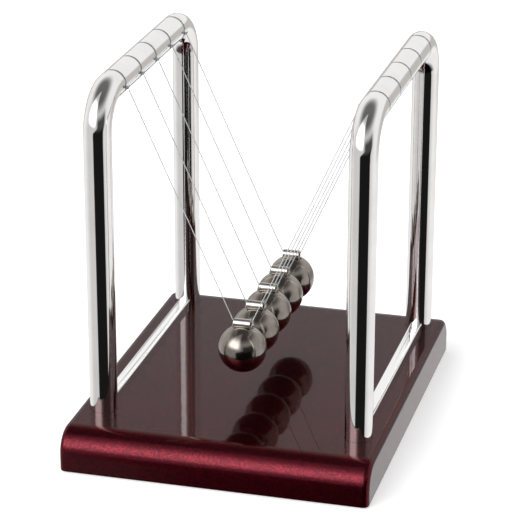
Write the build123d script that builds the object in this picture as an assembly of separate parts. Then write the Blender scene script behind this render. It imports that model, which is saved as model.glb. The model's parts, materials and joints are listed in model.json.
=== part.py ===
"""Five-ball swinging-sphere desk toy: lacquered base, two chromed tube arches, five steel
balls, each hung from a V of clear line between the two arches.

Frame: millimetres, +Z up, +X from the left arch to the right arch, +Y to the rear.
The origin is on the surface the toy stands on, under the middle of the base.
"""
from build123d import *
import math
import os

# ---- base block -------------------------------------------------------------------------
base_side_margin = 11.5       # leg axis to the side of the base
base_front_margin = 30.5      # front leg axis to the front of the base
base_rear_margin = 17.5
base_height = 19.6            # surface it stands on to the flat top
base_roll_radius = 11.2       # rolled top edge, front and rear
base_side_round = 2.8         # outline of the two flat ends
base_bottom_round = 0.6

# ---- foam pads under the base -----------------------------------------------------------
pad_diameter = 16.0
pad_thickness = 1.6
pad_reveal = 0.6              # how far a pad stands out of its recess
pad_side_inset = 28.5         # pad centre to the side of the base
pad_end_inset = 14.0          # pad centre to the front or rear of the base
pad_fit = 0.25                # radial

# ---- arches -----------------------------------------------------------------------------
arch_spacing = 118.0          # rail axis to rail axis, X
rail_height = 166.0           # rail axis above the surface it stands on
tube_diameter = 12.5
tube_wall = 1.2
bend_radius = 17.3            # on the tube's axis
rail_end_margin = 4.6         # end ball's string to the start of the bend
leg_socket_depth = 6.0
leg_socket_fit = 0.12         # radial

# ---- rail grooves and the line tied in them ---------------------------------------------
line_diameter = 0.45
loop_turns = 2
loop_fit = 0.02               # between turns, and from the turns to the groove's floor
groove_spare = 0.76           # groove's width that the turns leave free

# ---- threaded plugs, screws and washers in the legs -------------------------------------
plug_length = 14.0
plug_fit = 0.04
plug_chamfer = 0.6
plug_collar = 1.0             # collar that stops the plug on the tube's end
leg_screw_diameter = 4.0
leg_screw_head_diameter = 7.6
leg_screw_head_height = 2.6
leg_screw_recess_depth = 5.0
leg_screw_engagement = 8.0
leg_key_size = 2.5            # across the flats
washer_diameter = 9.6
washer_thickness = 0.8
thread_fit = 0.05             # radial, screw in its tapped hole
clearance_fit = 0.25          # radial, screw through a plain hole
recess_fit = 0.6              # radial, screw head or washer in its recess
screw_tip_chamfer = 0.15      # share of the screw's diameter
key_depth = 0.55              # share of the head's height

# ---- bars between the legs --------------------------------------------------------------
bar_width = 5.5
bar_height = 3.2
bar_edge_round = 0.9
bar_leg_gap = 0.15
bar_screw_diameter = 2.5
bar_screw_head_diameter = 4.6
bar_screw_head_height = 1.8
bar_screw_recess_depth = 9.0
bar_screw_engagement = 2.0
bar_screw_tip_gap = 0.2       # screw's tip to the end of its blind hole
bar_screw_spacing = 70.0
bar_key_size = 1.5            # across the flats

# ---- balls, hangers and knots -----------------------------------------------------------
ball_count = 5
ball_diameter = 22.0
ball_gap = 0.3                # between neighbours at rest
ball_centre_height = 46.6     # above the surface it stands on
hanger_diameter = 4.5
hanger_bore = 2.9
hanger_length = 8.0
hanger_rim_round = 0.25
hanger_rise = 0.9             # hanger axis above the top of the ball
hanger_seat_fit = 0.02
knot_diameter = 1.5
knot_length = 1.3             # X
knot_round = 0.35
knot_gap = 0.18               # knot to rail
knot_angle = -10.0            # degrees from level, seen along the rail, on its inner side
line_knot_gap = 0.03
line_bore_gap = 0.03
line_bend_radius = 0.8        # where the line turns at the hanger's mouth

overcut = 1.0                 # how far a cut runs past the face that it starts from

# ---- worked out from the sizes above ----------------------------------------------------
ball_radius = ball_diameter / 2
ball_pitch = ball_diameter + ball_gap
row_length = ball_pitch * (ball_count - 1)
leg_spacing = row_length + 2 * (rail_end_margin + bend_radius)
base_width = arch_spacing + 2 * base_side_margin
base_depth = base_front_margin + leg_spacing + base_rear_margin
arch_middle = (base_front_margin - base_rear_margin) / 2
base_top = base_height
base_underside = pad_reveal
tube_radius = tube_diameter / 2
tube_bore_radius = tube_radius - tube_wall
leg_foot = base_top - leg_socket_depth
arch_x = {"left": -arch_spacing / 2, "right": arch_spacing / 2}
leg_y = {"front": arch_middle - leg_spacing / 2, "rear": arch_middle + leg_spacing / 2}
turn_pitch = line_diameter + loop_fit
groove_width = loop_turns * turn_pitch + groove_spare
groove_depth = line_diameter
loop_radius = tube_radius - groove_depth + loop_fit + line_diameter / 2
hanger_height = ball_centre_height + ball_radius + hanger_rise
knot_reach = loop_radius + line_diameter / 2 + knot_gap + knot_diameter / 2
knot_x = arch_spacing / 2 - knot_reach * math.cos(math.radians(knot_angle))
knot_height = rail_height + knot_reach * math.sin(math.radians(knot_angle))


def ball_y(number):
    """Y of ball `number`, counted from 1 at the front."""
    return arch_middle - row_length / 2 + (number - 1) * ball_pitch


def upright(radius, bottom, top, x=0.0, y=0.0):
    """Vertical cylinder between two heights."""
    return Pos(x, y, (bottom + top) / 2) * Cylinder(radius, top - bottom)


def leg_places():
    """X and Y of the four legs."""
    return [(x, y) for x in arch_x.values() for y in leg_y.values()]


def bar_screw_places():
    """X and Y of the screws that hold the two bars."""
    offsets = (-bar_screw_spacing / 2, bar_screw_spacing / 2)
    return [(x, arch_middle + dy) for x in arch_x.values() for dy in offsets]


def pad_places():
    """X and Y of the four pads."""
    x = base_width / 2 - pad_side_inset
    y = base_depth / 2 - pad_end_inset
    return [(sx * x, sy * y) for sx in (-1, 1) for sy in (-1, 1)]


def make_plain_base():
    """Block with its front and rear top edges rolled, flat ends and softened corners."""
    height = base_top - base_underside
    profile = Rectangle(base_depth, height)
    profile = fillet(profile.vertices().group_by(Axis.Y)[-1], base_roll_radius)
    block = extrude(Plane.YZ * profile, base_width / 2, both=True)
    block = Pos(0, 0, base_underside + height / 2) * block
    ends = block.faces().sort_by(Axis.X)
    level = block.edges().group_by(Axis.Z)[0]
    outlines = [edge for edge in ends[0].edges() + ends[-1].edges() if edge not in level]
    block = fillet(outlines, base_side_round)
    return fillet(block.faces().sort_by(Axis.Z)[0].edges(), base_bottom_round)


def make_base():
    """Lacquered block with leg sockets, pad recesses and screw holes."""
    block = make_plain_base()
    below = base_underside - overcut
    cuts = []
    for x, y in leg_places():
        recess_top = base_underside + leg_screw_recess_depth
        cuts += [
            upright(tube_radius + leg_socket_fit, leg_foot - plug_collar, base_top + overcut, x, y),
            upright(leg_screw_diameter / 2 + clearance_fit, below, base_top, x, y),
            upright(washer_diameter / 2 + recess_fit, below, recess_top, x, y),
        ]
    for x, y in bar_screw_places():
        recess_top = base_underside + bar_screw_recess_depth
        cuts += [
            upright(bar_screw_diameter / 2 + clearance_fit, below, base_top + overcut, x, y),
            upright(bar_screw_head_diameter / 2 + recess_fit, below, recess_top, x, y),
        ]
    for x, y in pad_places():
        cuts.append(upright(pad_diameter / 2 + pad_fit, below, pad_thickness, x, y))
    return block - cuts


def make_arch(x):
    """Bent tube with string grooves round its level top."""
    front, rear = leg_y["front"], leg_y["rear"]
    corners = [(x, front, leg_foot), (x, front, rail_height), (x, rear, rail_height), (x, rear, leg_foot)]
    path = FilletPolyline(*corners, radius=bend_radius)
    start = Plane(origin=path @ 0, z_dir=path % 0)
    tube = sweep(start * Circle(tube_radius), path) - sweep(start * Circle(tube_bore_radius), path)
    for number in range(1, ball_count + 1):
        band = Rot(90, 0, 0) * (
            Cylinder(tube_radius + overcut, groove_width)
            - Cylinder(tube_radius - groove_depth, groove_width)
        )
        tube -= Pos(x, ball_y(number), rail_height) * band
    return tube


def make_tie_loops(x):
    """Turns of line wound in each groove of one rail."""
    turns = []
    for number in range(1, ball_count + 1):
        for turn in range(loop_turns):
            y = ball_y(number) + (turn - (loop_turns - 1) / 2) * turn_pitch
            ring = Torus(loop_radius, line_diameter / 2)
            turns.append(Pos(x, y, rail_height) * Rot(90, 0, 0) * ring)
    return Compound(turns)


def make_leg_plug(x, y):
    """Threaded plug pressed into the end of a leg."""
    top = leg_foot + plug_length
    plug = upright(tube_bore_radius - plug_fit, leg_foot, top, x, y)
    plug += upright(tube_radius, leg_foot - plug_collar, leg_foot, x, y)
    plug = chamfer(plug.edges().filter_by(GeomType.CIRCLE).sort_by(Axis.Z)[-1], plug_chamfer)
    bottom = leg_foot - plug_collar - overcut
    return plug - upright(leg_screw_diameter / 2 + thread_fit, bottom, top + overcut, x, y)


def make_screw(x, y, head_top, tip, shank, head, head_height, key_size):
    """Cap screw that points up, with its head below `head_top`."""
    screw = upright(shank / 2, head_top, tip, x, y)
    tip_edge = screw.edges().filter_by(GeomType.CIRCLE).sort_by(Axis.Z)[-1]
    screw = chamfer(tip_edge, screw_tip_chamfer * shank)
    screw += upright(head / 2, head_top - head_height, head_top, x, y)
    key = extrude(RegularPolygon(key_size / 2, 6, major_radius=False), head_height * key_depth)
    return screw - Pos(x, y, head_top - head_height) * key


def make_leg_washers():
    """Washers between the leg screws' heads and the base."""
    top = base_underside + leg_screw_recess_depth
    rings = []
    for x, y in leg_places():
        ring = upright(washer_diameter / 2, top - washer_thickness, top, x, y)
        rings.append(ring - upright(leg_screw_diameter / 2 + clearance_fit, 0, base_top, x, y))
    return Compound(rings)


def make_leg_screws():
    """The four screws that pull the legs down into the base."""
    head_top = base_underside + leg_screw_recess_depth - washer_thickness
    tip = leg_foot + leg_screw_engagement
    return Compound([
        make_screw(x, y, head_top, tip, leg_screw_diameter, leg_screw_head_diameter,
                   leg_screw_head_height, leg_key_size)
        for x, y in leg_places()
    ])


def make_bar_screws():
    """The four small screws that hold the bars down from below."""
    head_top = base_underside + bar_screw_recess_depth
    tip = base_top + bar_screw_engagement
    return Compound([
        make_screw(x, y, head_top, tip, bar_screw_diameter, bar_screw_head_diameter,
                   bar_screw_head_height, bar_key_size)
        for x, y in bar_screw_places()
    ])


def make_bar(x):
    """Polished bar on the base between the two legs of one arch."""
    bar = Pos(x, arch_middle, base_top + bar_height / 2) * Box(bar_width, leg_spacing, bar_height)
    top_edges = bar.faces().sort_by(Axis.Z)[-1].edges().filter_by(Axis.Y)
    bar = fillet(top_edges, bar_edge_round)
    below = base_top - overcut
    for y in leg_y.values():
        bar -= upright(tube_radius + bar_leg_gap, below, base_top + bar_height + overcut, x, y)
    hole_top = base_top + bar_screw_engagement + bar_screw_tip_gap
    for hole_x, hole_y in bar_screw_places():
        if hole_x == x:
            bar -= upright(bar_screw_diameter / 2 + thread_fit, below, hole_top, hole_x, hole_y)
    return bar


def make_pads():
    """Four foam pads in their recesses."""
    return Compound([upright(pad_diameter / 2, 0, pad_thickness, x, y) for x, y in pad_places()])


def make_ball(number):
    """Steel ball with a saddle milled across its top for the hanger."""
    y = ball_y(number)
    ball = Pos(0, y, ball_centre_height) * Sphere(ball_radius)
    saddle = Rot(0, 90, 0) * Cylinder(hanger_diameter / 2 + hanger_seat_fit, ball_diameter)
    return ball - Pos(0, y, hanger_height) * saddle


def make_hanger(number):
    """Short tube welded across the top of a ball."""
    tube = Cylinder(hanger_diameter / 2, hanger_length) - Cylinder(hanger_bore / 2, hanger_length)
    rims = tube.edges().filter_by(GeomType.CIRCLE)
    tube = fillet(rims, hanger_rim_round)
    return Pos(0, ball_y(number), hanger_height) * Rot(0, 90, 0) * tube


def line_points(number):
    """Corners of one line: knot, hanger mouth, other mouth, other knot."""
    y = ball_y(number)
    inside = hanger_height + hanger_bore / 2 - line_diameter / 2 - line_bore_gap
    mouth = hanger_length / 2 + line_bend_radius / 2
    fall = math.atan2(knot_height - inside, knot_x - mouth)
    reach = (knot_diameter + line_diameter) / 2 / math.sin(fall) + line_knot_gap
    end_x = knot_x - reach * math.cos(fall)
    end_z = knot_height - reach * math.sin(fall)
    return [(-end_x, y, end_z), (-mouth, y, inside), (mouth, y, inside), (end_x, y, end_z)]


def make_line(number):
    """Taut clear line, down from one arch, through the hanger and up to the other arch."""
    path = FilletPolyline(*line_points(number), radius=[line_bend_radius, line_bend_radius])
    start = Plane(origin=path @ 0, z_dir=path % 0)
    line = sweep(start * Circle(line_diameter / 2), path)
    section = math.pi * line_diameter ** 2 / 4
    print(f"string_{number}: length {path.length:.1f} mm, corner radii {line_bend_radius} mm,",
          f"volume over section times length {line.volume / (section * path.length):.4f}")
    return line


def make_knot(number, side):
    """Knot that ends one line on the inner side of a rail."""
    barrel = Cylinder(knot_diameter / 2, knot_length)
    barrel = fillet(barrel.edges().filter_by(GeomType.CIRCLE), knot_round)
    x = math.copysign(knot_x, arch_x[side])
    return Pos(x, ball_y(number), knot_height) * Rot(0, 90, 0) * barrel


def save(node, shape):
    """Write one sub-part."""
    shape.label = node
    export_step(shape, f"parts/{node}.step")


def main():
    os.makedirs("parts", exist_ok=True)
    save("base_block", make_base())
    save("foot_pads", make_pads())
    save("leg_screws", make_leg_screws())
    save("leg_washers", make_leg_washers())
    save("bar_screws", make_bar_screws())
    for side, x in arch_x.items():
        save(f"arch_{side}", make_arch(x))
        save(f"base_bar_{side}", make_bar(x))
        save(f"tie_loops_{side}", make_tie_loops(x))
        for end, y in leg_y.items():
            save(f"leg_plug_{end}_{side}", make_leg_plug(x, y))
    for number in range(1, ball_count + 1):
        save(f"ball_{number}", make_ball(number))
        save(f"hanger_{number}", make_hanger(number))
        save(f"string_{number}", make_line(number))
        for side in arch_x:
            save(f"knot_{number}_{side}", make_knot(number, side))


main()
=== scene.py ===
"""Looks of a five-ball swinging-sphere desk toy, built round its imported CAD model.

Metres, in the model's frame.
"""
import json
import math

import bpy
from mathutils import Matrix, Vector


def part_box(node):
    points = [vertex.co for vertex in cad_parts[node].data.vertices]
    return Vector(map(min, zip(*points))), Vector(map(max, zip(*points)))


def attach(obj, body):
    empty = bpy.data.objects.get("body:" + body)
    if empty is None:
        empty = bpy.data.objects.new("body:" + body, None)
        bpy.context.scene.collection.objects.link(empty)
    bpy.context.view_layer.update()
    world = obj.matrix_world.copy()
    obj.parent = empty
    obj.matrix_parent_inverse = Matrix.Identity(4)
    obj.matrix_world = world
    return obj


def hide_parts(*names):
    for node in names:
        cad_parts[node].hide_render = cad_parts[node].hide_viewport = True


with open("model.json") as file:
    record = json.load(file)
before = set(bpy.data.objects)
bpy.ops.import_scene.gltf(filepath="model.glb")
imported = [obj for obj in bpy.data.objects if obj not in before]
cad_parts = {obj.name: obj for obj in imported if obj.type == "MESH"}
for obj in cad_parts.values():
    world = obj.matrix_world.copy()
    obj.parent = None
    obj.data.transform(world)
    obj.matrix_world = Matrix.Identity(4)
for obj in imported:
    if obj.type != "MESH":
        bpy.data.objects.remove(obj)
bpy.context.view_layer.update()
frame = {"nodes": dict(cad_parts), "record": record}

BALLS = range(1, 6)
SIDES = ("left", "right")


# ---- camera ------------------------------------------------------------------------------
CAMERA_PLACE = Vector((0.26256, -0.99233, 0.47519))
CAMERA_YAW = math.radians(14.668)        # from +Y towards -X
CAMERA_PITCH = math.radians(-22.151)
CAMERA_ROLL = math.radians(-0.22)
CAMERA_LENS = 164.89
CAMERA_SHIFT = (-0.01764, 0.06539)


def make_camera():
    """The viewing angle: front, a little from the right and from above."""
    level = math.cos(CAMERA_PITCH)
    forward = Vector(
        (-math.sin(CAMERA_YAW) * level, math.cos(CAMERA_YAW) * level, math.sin(CAMERA_PITCH))
    )
    right = forward.cross(Vector((0, 0, 1))).normalized()
    right.rotate(Matrix.Rotation(CAMERA_ROLL, 3, forward))
    up = right.cross(forward)
    data = bpy.data.cameras.new("camera")
    data.lens = CAMERA_LENS
    data.sensor_width = 36
    data.shift_x, data.shift_y = CAMERA_SHIFT
    data.clip_start, data.clip_end = 0.05, 50
    camera = bpy.data.objects.new("camera", data)
    turn = Matrix((right, up, -forward)).transposed().to_4x4()
    camera.matrix_world = Matrix.Translation(CAMERA_PLACE) @ turn
    bpy.context.scene.collection.objects.link(camera)
    bpy.context.scene.camera = camera


# ---- node helpers ------------------------------------------------------------------------
class Nodes:
    """Short calls that add nodes to one tree."""

    def __init__(self, tree):
        self.tree = tree
        tree.nodes.clear()

    def add(self, kind, inputs=None, **settings):
        node = self.tree.nodes.new(kind)
        for name, value in settings.items():
            setattr(node, name, value)
        for name, value in (inputs or {}).items():
            self.put(node.inputs[name], value)
        return node

    def put(self, socket, value):
        if isinstance(value, bpy.types.NodeSocket):
            self.tree.links.new(value, socket)
        else:
            socket.default_value = value

    def math(self, operation, a, b=0.0, clamp=False):
        node = self.add("ShaderNodeMath", operation=operation, use_clamp=clamp)
        self.put(node.inputs[0], a)
        self.put(node.inputs[1], b)
        return node.outputs[0]

    def ramp(self, value, low, high, to_low=0.0, to_high=1.0):
        node = self.add("ShaderNodeMapRange", {"Value": value}, interpolation_type="SMOOTHSTEP")
        for name, number in (("From Min", low), ("From Max", high), ("To Min", to_low), ("To Max", to_high)):
            node.inputs[name].default_value = number
        return node.outputs["Result"]

    def window(self, value, low, high, soft):
        rise = self.ramp(value, low - soft, low + soft)
        fall = self.ramp(value, high - soft, high + soft, 1.0, 0.0)
        return self.math("MULTIPLY", rise, fall)

    def mix(self, factor, a, b):
        node = self.add("ShaderNodeMix", data_type="RGBA")
        self.put(node.inputs["Factor"], factor)
        for socket, value in ((node.inputs[6], a), (node.inputs[7], b)):
            self.put(socket, value)
        return node.outputs[2]

    def noise(self, scale, detail=3.0, roughness=0.5, vector=None):
        vector = vector or self.add("ShaderNodeTexCoord").outputs["Object"]
        inputs = {"Vector": vector, "Scale": scale, "Detail": detail, "Roughness": roughness}
        return self.add("ShaderNodeTexNoise", inputs).outputs["Fac"]

    def stretched(self, x, y, z):
        coordinates = self.add("ShaderNodeTexCoord").outputs["Object"]
        node = self.add("ShaderNodeVectorMath", operation="MULTIPLY")
        self.put(node.inputs[0], coordinates)
        node.inputs[1].default_value = (x, y, z)
        return node.outputs[0]

    def bump(self, height, strength, distance, normal=None):
        node = self.add("ShaderNodeBump", {"Height": height, "Strength": strength, "Distance": distance})
        if normal:
            self.put(node.inputs["Normal"], normal)
        return node.outputs["Normal"]


def new_material(name):
    """A material with an empty tree, its Nodes, and a Principled shader joined to the output."""
    material = bpy.data.materials.new(name)
    material.use_nodes = True
    nodes = Nodes(material.node_tree)
    shader = nodes.add("ShaderNodeBsdfPrincipled")
    output = nodes.add("ShaderNodeOutputMaterial")
    nodes.tree.links.new(shader.outputs["BSDF"], output.inputs["Surface"])
    return material, nodes, shader.inputs


# ---- materials ---------------------------------------------------------------------------
def make_chrome():
    """Mirror chrome with faint smears, very fine polishing lines and a slightly wavy plate."""
    material, nodes, put = new_material("chrome")
    smear = nodes.noise(55, 4, 0.6)
    scratch = nodes.noise(1, 2, 0.5, nodes.stretched(2600, 2600, 90))
    smeared = nodes.ramp(smear, 0.35, 0.7)
    nodes.put(
        put["Base Color"], nodes.mix(smeared, (0.88, 0.872, 0.865, 1), (0.83, 0.822, 0.815, 1))
    )
    put["Metallic"].default_value = 1.0
    nodes.put(put["Roughness"], nodes.ramp(smear, 0.3, 0.75, 0.04, 0.09))
    wavy = nodes.bump(nodes.noise(90, 1, 0.4), 0.05, 0.0008)
    nodes.put(put["Normal"], nodes.bump(scratch, 0.010, 0.00004, wavy))
    return material


def make_bar_chrome():
    """Chrome on a drawn bar: grey drawing lines along its length."""
    material, nodes, put = new_material("bar_chrome")
    lines = nodes.ramp(nodes.noise(1, 2, 0.55, nodes.stretched(950, 6, 950)), 0.56, 0.68)
    nodes.put(put["Base Color"], nodes.mix(lines, (0.93, 0.925, 0.92, 1), (0.50, 0.49, 0.485, 1)))
    put["Metallic"].default_value = 1.0
    nodes.put(put["Roughness"], nodes.ramp(lines, 0.0, 1.0, 0.05, 0.22))
    nodes.put(put["Normal"], nodes.bump(lines, 0.08, 0.00004))
    return material


def make_lacquer():
    """Burgundy lacquer: metal flakes under a clear coat, with slight orange peel and a faintly cloudy tone.
    """
    material, nodes, put = new_material("burgundy_lacquer")
    coordinates = nodes.add("ShaderNodeTexCoord").outputs["Object"]
    flake = nodes.add("ShaderNodeTexVoronoi", {"Vector": coordinates, "Scale": 3000.0}, feature="F1")
    split = nodes.add("ShaderNodeSeparateColor", {"Color": flake.outputs["Color"]})
    glint = nodes.ramp(split.outputs["Red"], 0.45, 1.0)
    cloud = nodes.ramp(nodes.noise(28, 3), 0.3, 0.7)
    deep = nodes.mix(cloud, (0.052, 0.0026, 0.0085, 1), (0.066, 0.0032, 0.0105, 1))
    nodes.put(put["Base Color"], nodes.mix(glint, deep, (0.16, 0.009, 0.013, 1)))
    put["Metallic"].default_value = 0.92
    put["Specular Tint"].default_value = (0.22, 0.05, 0.11, 1)
    nodes.put(put["Roughness"], nodes.ramp(split.outputs["Green"], 0.0, 1.0, 0.16, 0.26))
    tilt = nodes.bump(split.outputs["Blue"], 0.24, 0.00010)
    nodes.put(put["Normal"], tilt)
    put["Coat Weight"].default_value = 1.0
    put["Coat Roughness"].default_value = 0.03
    put["Coat IOR"].default_value = 1.2
    nodes.put(put["Coat Normal"], nodes.bump(nodes.noise(170, 2, 0.4), 0.04, 0.0004))
    return material


def make_ball_steel():
    """Satin-polished steel: soft grain, tiny pits and slight stains."""
    material, nodes, put = new_material("ball_steel")
    stain = nodes.ramp(nodes.noise(130, 4, 0.65), 0.35, 0.7)
    grain = nodes.noise(2400, 2, 0.6)
    nodes.put(put["Base Color"], nodes.mix(stain, (0.300, 0.268, 0.240, 1), (0.235, 0.206, 0.184, 1)))
    put["Metallic"].default_value = 1.0
    nodes.put(put["Roughness"], nodes.ramp(stain, 0.0, 1.0, 0.11, 0.17))
    nodes.put(put["Normal"], nodes.bump(grain, 0.04, 0.00005, nodes.bump(nodes.noise(320, 2), 0.04, 0.0002)))
    return material


def make_hanger_steel():
    """Bright drawn tube with lengthwise drawing lines."""
    material, nodes, put = new_material("hanger_steel")
    lines = nodes.noise(1, 2, 0.5, nodes.stretched(60, 5200, 5200))
    drawn = nodes.ramp(lines, 0.35, 0.65)
    nodes.put(put["Base Color"], nodes.mix(drawn, (0.62, 0.60, 0.57, 1), (0.46, 0.44, 0.41, 1)))
    put["Metallic"].default_value = 1.0
    nodes.put(put["Roughness"], nodes.ramp(lines, 0.3, 0.7, 0.16, 0.30))
    nodes.put(put["Normal"], nodes.bump(lines, 0.12, 0.00005))
    return material


def make_clear_line():
    """Clear nylon line, a little cloudy along its length."""
    material, nodes, put = new_material("clear_line")
    cloudy = nodes.ramp(nodes.noise(700, 2), 0.3, 0.7)
    nodes.put(put["Base Color"], nodes.mix(cloudy, (0.62, 0.63, 0.64, 1), (0.48, 0.49, 0.50, 1)))
    nodes.put(put["Roughness"], nodes.ramp(cloudy, 0.0, 1.0, 0.10, 0.22))
    put["IOR"].default_value = 1.53
    put["Alpha"].default_value = 0.8
    nodes.put(put["Normal"], nodes.bump(cloudy, 0.05, 0.00005))
    return material


def make_zinc():
    """Zinc-plated steel with a faint speckle."""
    material, nodes, put = new_material("zinc_steel")
    speckle = nodes.ramp(nodes.noise(900, 3), 0.35, 0.65)
    nodes.put(put["Base Color"], nodes.mix(speckle, (0.62, 0.62, 0.60, 1), (0.50, 0.51, 0.50, 1)))
    put["Metallic"].default_value = 1.0
    nodes.put(put["Roughness"], nodes.ramp(speckle, 0.0, 1.0, 0.28, 0.42))
    nodes.put(put["Normal"], nodes.bump(speckle, 0.1, 0.00005))
    return material


def make_foam():
    """Black closed-cell foam."""
    material, nodes, put = new_material("foam")
    inputs = {"Vector": nodes.stretched(1, 1, 1), "Scale": 1400.0}
    cells = nodes.add("ShaderNodeTexVoronoi", inputs).outputs["Distance"]
    wall = nodes.ramp(cells, 0.1, 0.8)
    nodes.put(put["Base Color"], nodes.mix(wall, (0.035, 0.035, 0.036, 1), (0.016, 0.016, 0.017, 1)))
    put["Roughness"].default_value = 0.9
    nodes.put(put["Normal"], nodes.bump(cells, 0.5, 0.0002))
    return material


MATERIALS = {
    "chrome": make_chrome(), "lacquer": make_lacquer(), "ball_steel": make_ball_steel(),
    "hanger_steel": make_hanger_steel(), "clear_line": make_clear_line(),
    "zinc_steel": make_zinc(), "foam": make_foam(),
}
BAR_CHROME = make_bar_chrome()


def dress_cad_nodes():
    """Every CAD node gets its slot's material, and the bars their own drawn chrome."""
    for part in frame["record"]["subparts"]:
        node = frame["nodes"][part["node"]]
        drawn_bar = part["node"].startswith("base_bar")
        node.data.materials.clear()
        node.data.materials.append(BAR_CHROME if drawn_bar else MATERIALS[part["material_slot"]])


# ---- line wound on the rails, and its knots ----------------------------------------------
WOUND_TURNS = 2
STEPS_PER_TURN = 32
TAIL_TURN = 0.09               # share of a turn over which an end rises to its knot
KNOT_TURNS = 3.0
KNOT_TAIL = 0.0011             # cut end that stands out of a knot
TURN_PITCH = 2.05              # from turn to turn, in radii of the line


def make_line_curve(name, runs, radius, body, node):
    """Round line along each run of points, in place of one CAD node."""
    data = bpy.data.curves.new(name, "CURVE")
    data.dimensions = "3D"
    data.bevel_depth = radius
    data.bevel_resolution = 4
    data.use_fill_caps = True
    for run in runs:
        spline = data.splines.new("POLY")
        spline.points.add(len(run) - 1)
        for point, place in zip(spline.points, run):
            point.co = (*place, 1.0)
    data.materials.append(MATERIALS["clear_line"])
    piece = bpy.data.objects.new(name, data)
    bpy.context.scene.collection.objects.link(piece)
    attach(piece, body)
    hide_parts(node)


def middle(node):
    """Middle of a node's box."""
    low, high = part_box(node)
    return (Vector(low) + Vector(high)) / 2


def line_radius():
    """Half the thickness of a string's box across the V that it hangs in."""
    low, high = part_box("string_1")
    return (high[1] - low[1]) / 2


def wound_run(rail, reach, knot):
    """Line from a knot into its groove, round the rail and back out to the knot."""
    radius = line_radius()
    inward = math.copysign(1.0, -rail.x)
    start = math.atan2(knot.z - rail.z, (knot.x - rail.x) * inward)
    knot_edge = (knot - Vector((rail.x, knot.y, rail.z))).length - 2 * radius
    steps = WOUND_TURNS * STEPS_PER_TURN
    run = []
    for step in range(steps + 1):
        turn = step / STEPS_PER_TURN
        from_end = min(turn, WOUND_TURNS - turn) / TAIL_TURN
        lift = max(0.0, 1.0 - from_end) ** 2
        distance = reach + (knot_edge - reach) * lift
        angle = start + 2 * math.pi * turn
        y = knot.y + (turn - WOUND_TURNS / 2) * TURN_PITCH * radius
        run.append((rail.x + inward * distance * math.cos(angle), y, rail.z + distance * math.sin(angle)))
    return run


def make_wound_loops(side):
    """The line's turns in the five grooves of one rail."""
    node = f"tie_loops_{side}"
    rail = middle(node)
    low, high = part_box(node)
    reach = (high[2] - low[2]) / 2 - line_radius()
    runs = [wound_run(rail, reach, middle(f"knot_{ball}_{side}")) for ball in BALLS]
    make_line_curve(f"wound_line_{side}", runs, line_radius(), "frame", node)


def make_knot(ball, side):
    """Barrel knot: three tight turns round the line, and its cut end."""
    node = f"knot_{ball}_{side}"
    low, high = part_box(node)
    centre = middle(node)
    radius = line_radius()
    turn_radius = (high[1] - low[1]) / 2 - radius
    length = high[0] - low[0] - 2 * radius
    outward = math.copysign(1.0, centre.x)
    coil = []
    for step in range(int(KNOT_TURNS * STEPS_PER_TURN) + 1):
        share = step / (KNOT_TURNS * STEPS_PER_TURN)
        angle = 2 * math.pi * KNOT_TURNS * share
        x = centre.x + outward * (share - 0.5) * length
        coil.append((x, centre.y + turn_radius * math.cos(angle), centre.z + turn_radius * math.sin(angle)))
    core = [(centre.x - outward * length * 0.75, centre.y, centre.z),
            (centre.x + outward * length * 0.55, centre.y, centre.z)]
    tail = [(centre.x - outward * length * 0.3, centre.y, centre.z),
            (centre.x - outward * (length * 0.3 + KNOT_TAIL * 0.5), centre.y, centre.z + KNOT_TAIL)]
    make_line_curve(f"tied_{node}", [coil, core, tail], radius, f"ball_{ball}_pendulum", node)


# ---- studio ------------------------------------------------------------------------------
# Azimuths go from -Y towards +X, in degrees. Heights are the Z of a direction.
FLAG_LOW = (-18.0, 63.0)       # dark flag in front, below the horizon
FLAG_HIGH = (14.0, 76.0)       # the same flag higher up, where it leans to the right
FLAG_TOP = 0.46
KEY_AZIMUTHS = (-60.0, -4.0)   # tall softbox, front left
KEY_HEIGHTS = (0.10, 0.42)     # where its lower edge fades in
KEY_TOP = (0.55, 0.97)         # where it dims towards the top
KEY_DIMMED = 0.10
KEY_STRENGTH = 4.2
CEILING = 0.16                 # of the walls' brightness
UNDER_FRONT = 0.10             # brightness of the lowest part of the front
REAR_AZIMUTH = -165.3          # straight on past a tube's edge, as the camera sees it
EDGE_SPREAD = 30.0
REAR_SHADE = (0.60, 0.575, 0.55, 1)
FLOOR_HALF = 8.0
FLOOR_GLOW = 0.50              # keeps the floor white away from the toy's shadow


def make_flag(nodes, azimuth, height):
    """How much of the dark front flag a direction meets."""
    sides = [
        nodes.ramp(height, -0.10, 0.16, math.radians(low), math.radians(high))
        for low, high in zip(FLAG_LOW, FLAG_HIGH)
    ]
    soft = nodes.ramp(height, -0.10, 0.16, 0.035, 0.17)
    share = nodes.ramp(height, -0.06, 0.12, 0.985, 0.90)
    for distance in (nodes.math("SUBTRACT", azimuth, sides[0]), nodes.math("SUBTRACT", sides[1], azimuth)):
        inside = nodes.ramp(nodes.math("DIVIDE", distance, soft), -1.0, 1.0)
        share = nodes.math("MULTIPLY", share, inside)
    return nodes.math("MULTIPLY", share, nodes.ramp(height, FLAG_TOP - 0.16, FLAG_TOP + 0.16, 1.0, 0.0))


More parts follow.
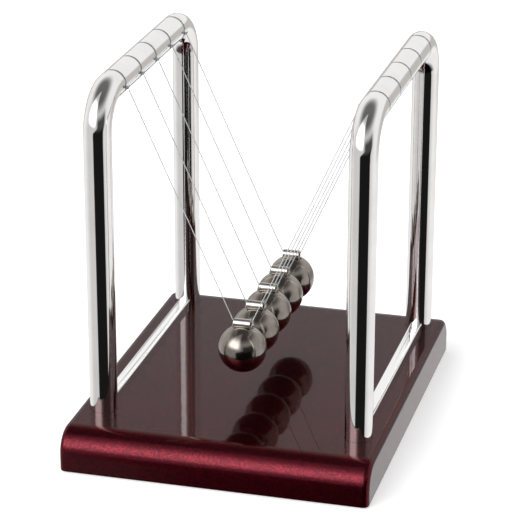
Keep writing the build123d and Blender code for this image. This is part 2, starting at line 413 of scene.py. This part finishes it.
def make_world():
    """White room with a tall softbox, a dark flag, a shaded rear and a plain white backdrop."""
    world = bpy.data.worlds.new("studio")
    world.use_nodes = True
    bpy.context.scene.world = world
    nodes = Nodes(world.node_tree)
    direction = nodes.add("ShaderNodeTexCoord").outputs["Generated"]
    part = nodes.add("ShaderNodeSeparateXYZ", {"Vector": direction}).outputs
    azimuth = nodes.math("ARCTAN2", part["X"], nodes.math("MULTIPLY", part["Y"], -1.0))
    height = part["Z"]
    open_room = nodes.math("SUBTRACT", 1.0, make_flag(nodes, azimuth, height))
    level = nodes.math("MULTIPLY", nodes.ramp(part["Y"], -0.55, 0.25, 0.66, 0.95), open_room)
    level = nodes.math("MULTIPLY", level, nodes.ramp(height, 0.52, 0.92, 1.0, CEILING))
    front = nodes.ramp(part["Y"], -0.35, 0.10, 1.0, 0.0)
    under = nodes.math("MULTIPLY", front, nodes.ramp(height, -0.52, -0.42, 1.0 - UNDER_FRONT, 0.0))
    level = nodes.math("MULTIPLY", level, nodes.math("SUBTRACT", 1.0, under))
    key_low, key_high = (math.radians(angle) for angle in KEY_AZIMUTHS)
    key = nodes.window(azimuth, key_low, key_high, 0.22)
    key = nodes.math("MULTIPLY", key, nodes.ramp(height, *KEY_HEIGHTS))
    key = nodes.math("MULTIPLY", key, nodes.ramp(height, *KEY_TOP, 1.0, KEY_DIMMED))
    level = nodes.math("ADD", level, nodes.math("MULTIPLY", key, KEY_STRENGTH))
    past_edge = nodes.math("ABSOLUTE", nodes.math("SUBTRACT", azimuth, math.radians(REAR_AZIMUTH)))
    edge = nodes.ramp(past_edge, 0.0, math.radians(EDGE_SPREAD), 0.75, 0.0)
    edge = nodes.math("MULTIPLY", edge, nodes.ramp(height, -0.30, -0.22, 1.0, 0.0))
    level = nodes.math("MULTIPLY", level, nodes.math("SUBTRACT", 1.0, edge))
    behind = nodes.ramp(part["Y"], 0.3, 0.85)
    shade = nodes.math("MULTIPLY", nodes.window(height, -0.30, 0.06, 0.06), behind)
    colour = nodes.mix(shade, (1, 1, 1, 1), REAR_SHADE)
    lit = nodes.add("ShaderNodeBackground", {"Color": colour, "Strength": level})
    plain = nodes.add("ShaderNodeBackground", {"Color": (1, 1, 1, 1), "Strength": 1.0})
    seen = nodes.add("ShaderNodeLightPath").outputs["Is Camera Ray"]
    both = nodes.add("ShaderNodeMixShader", {"Fac": seen})
    nodes.tree.links.new(lit.outputs[0], both.inputs[1])
    nodes.tree.links.new(plain.outputs[0], both.inputs[2])
    output = nodes.add("ShaderNodeOutputWorld")
    nodes.tree.links.new(both.outputs[0], output.inputs["Surface"])


def make_floor():
    """Pale, matt floor at the surface that the toy stands on."""
    material, nodes, put = new_material("floor")
    tone = nodes.ramp(nodes.noise(6, 2), 0.3, 0.7)
    nodes.put(put["Base Color"], nodes.mix(tone, (0.97, 0.97, 0.97, 1), (0.965, 0.965, 0.965, 1)))
    put["Roughness"].default_value = 0.9
    put["Specular IOR Level"].default_value = 0.1
    nodes.put(put["Emission Color"], (1, 1, 1, 1))
    put["Emission Strength"].default_value = FLOOR_GLOW
    corners = [(x * FLOOR_HALF, y * FLOOR_HALF, 0) for x, y in ((-1, -1), (1, -1), (1, 1), (-1, 1))]
    mesh = bpy.data.meshes.new("floor")
    mesh.from_pydata(corners, [], [(0, 1, 2, 3)])
    floor = bpy.data.objects.new("floor", mesh)
    floor.data.materials.append(material)
    floor.visible_glossy = False
    bpy.context.scene.collection.objects.link(floor)


make_camera()
make_world()
make_floor()
dress_cad_nodes()
for side in SIDES:
    make_wound_loops(side)
    for ball in BALLS:
        make_knot(ball, side)
bpy.context.scene.view_settings.view_transform = "Standard"
